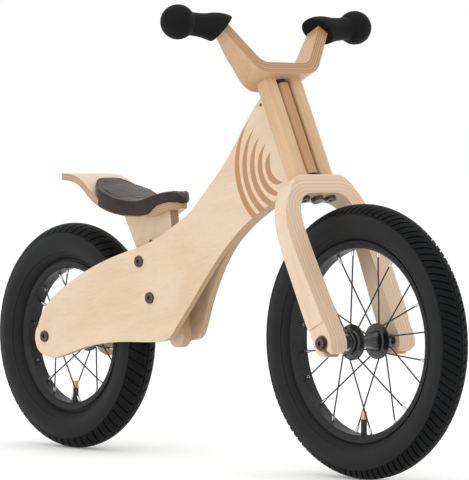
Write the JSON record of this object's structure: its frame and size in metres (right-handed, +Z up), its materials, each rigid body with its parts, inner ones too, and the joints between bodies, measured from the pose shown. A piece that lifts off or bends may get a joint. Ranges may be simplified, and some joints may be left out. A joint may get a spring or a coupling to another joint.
{
  "type": "balance bike",
  "caption": "Child's wooden balance bike: bentwood fork and bars on a steering pivot, bent plywood side boards, padded saddle on a tapered post, spoked wheels on pneumatic tyres",
  "frame": {"origin": "on the ground, midway along the overall length, on the centre plane", "axes": "+X forward, +Y to the rider's left, +Z up"},
  "size_m": [0.9119, 0.355, 0.6019],
  "materials": {
    "birch": "clear satin varnish, birch face veneer",
    "birch_bent": "clear satin varnish, laminated edge showing",
    "rubber_grip": "matt moulded rubber",
    "tyre": "dull black tyre rubber",
    "tube": "soft butyl",
    "rim": "black anodised satin",
    "spoke": "black coated wire",
    "nickel": "nickel plate",
    "hub": "glossy black",
    "steel": "bright steel",
    "bolt": "dark bronze burnished",
    "bush": "black bearing plastic",
    "leather": "dark brown, slightly glossy",
    "valve": "black",
    "brass": "turned brass"
  },
  "bodies": {
    "frame": {"frame_panel_right": "birch", "frame_panel_left": "birch", "head_post": "birch_bent", "head_bushes": "bush", "head_pins": "bolt", "saddle_shell": "birch_bent", "saddle_pad": "leather", "saddle_screws": "steel", "seat_post": "birch", "seat_spacers": "bush", "seat_bolts": "bolt", "seat_nuts": "bolt", "rear_axle": "steel", "rear_axle_bolts": "bolt", "rear_axle_sleeves": "hub"},
    "steering": {"fork": "birch_bent", "strut_right": "birch_bent", "strut_left": "birch_bent", "handlebar": "birch_bent", "crown_bolts": "bolt", "bar_bolts": "bolt", "steering_rod": "steel", "thrust_washers": "bush", "grip_right": "rubber_grip", "grip_left": "rubber_grip", "grip_core_right": "birch_bent", "grip_core_left": "birch_bent", "front_axle": "steel", "front_axle_bolts": "bolt", "front_axle_washers": "bolt", "front_axle_sleeves": "hub"},
    "front_wheel": {"front_tyre": "tyre", "front_tube": "tube", "front_rim": "rim", "front_hub": "hub", "front_bearings": "steel", "front_spokes": "spoke", "front_nipples": "nickel", "front_valve_stem": "valve", "front_valve_cap": "brass"},
    "rear_wheel": {"rear_tyre": "tyre", "rear_tube": "tube", "rear_rim": "rim", "rear_hub": "hub", "rear_bearings": "steel", "rear_spokes": "spoke", "rear_nipples": "nickel", "rear_valve_stem": "valve", "rear_valve_cap": "brass"}
  },
  "joints": [
    {"name": "steering_pivot", "type": "hinge", "parent": "frame", "child": "steering", "pos_m": [0.281, 0, 0.175], "axis": [-0.4517, 0, 0.8922], "range_deg": [-30, 30]},
    {"name": "front_wheel_spin", "type": "hinge", "parent": "steering", "child": "front_wheel", "pos_m": [0.281, 0, 0.175], "axis": [0, 1, 0], "continuous": true},
    {"name": "rear_wheel_spin", "type": "hinge", "parent": "frame", "child": "rear_wheel", "pos_m": [-0.3, 0, 0.156], "axis": [0, 1, 0], "continuous": true}
  ]
}
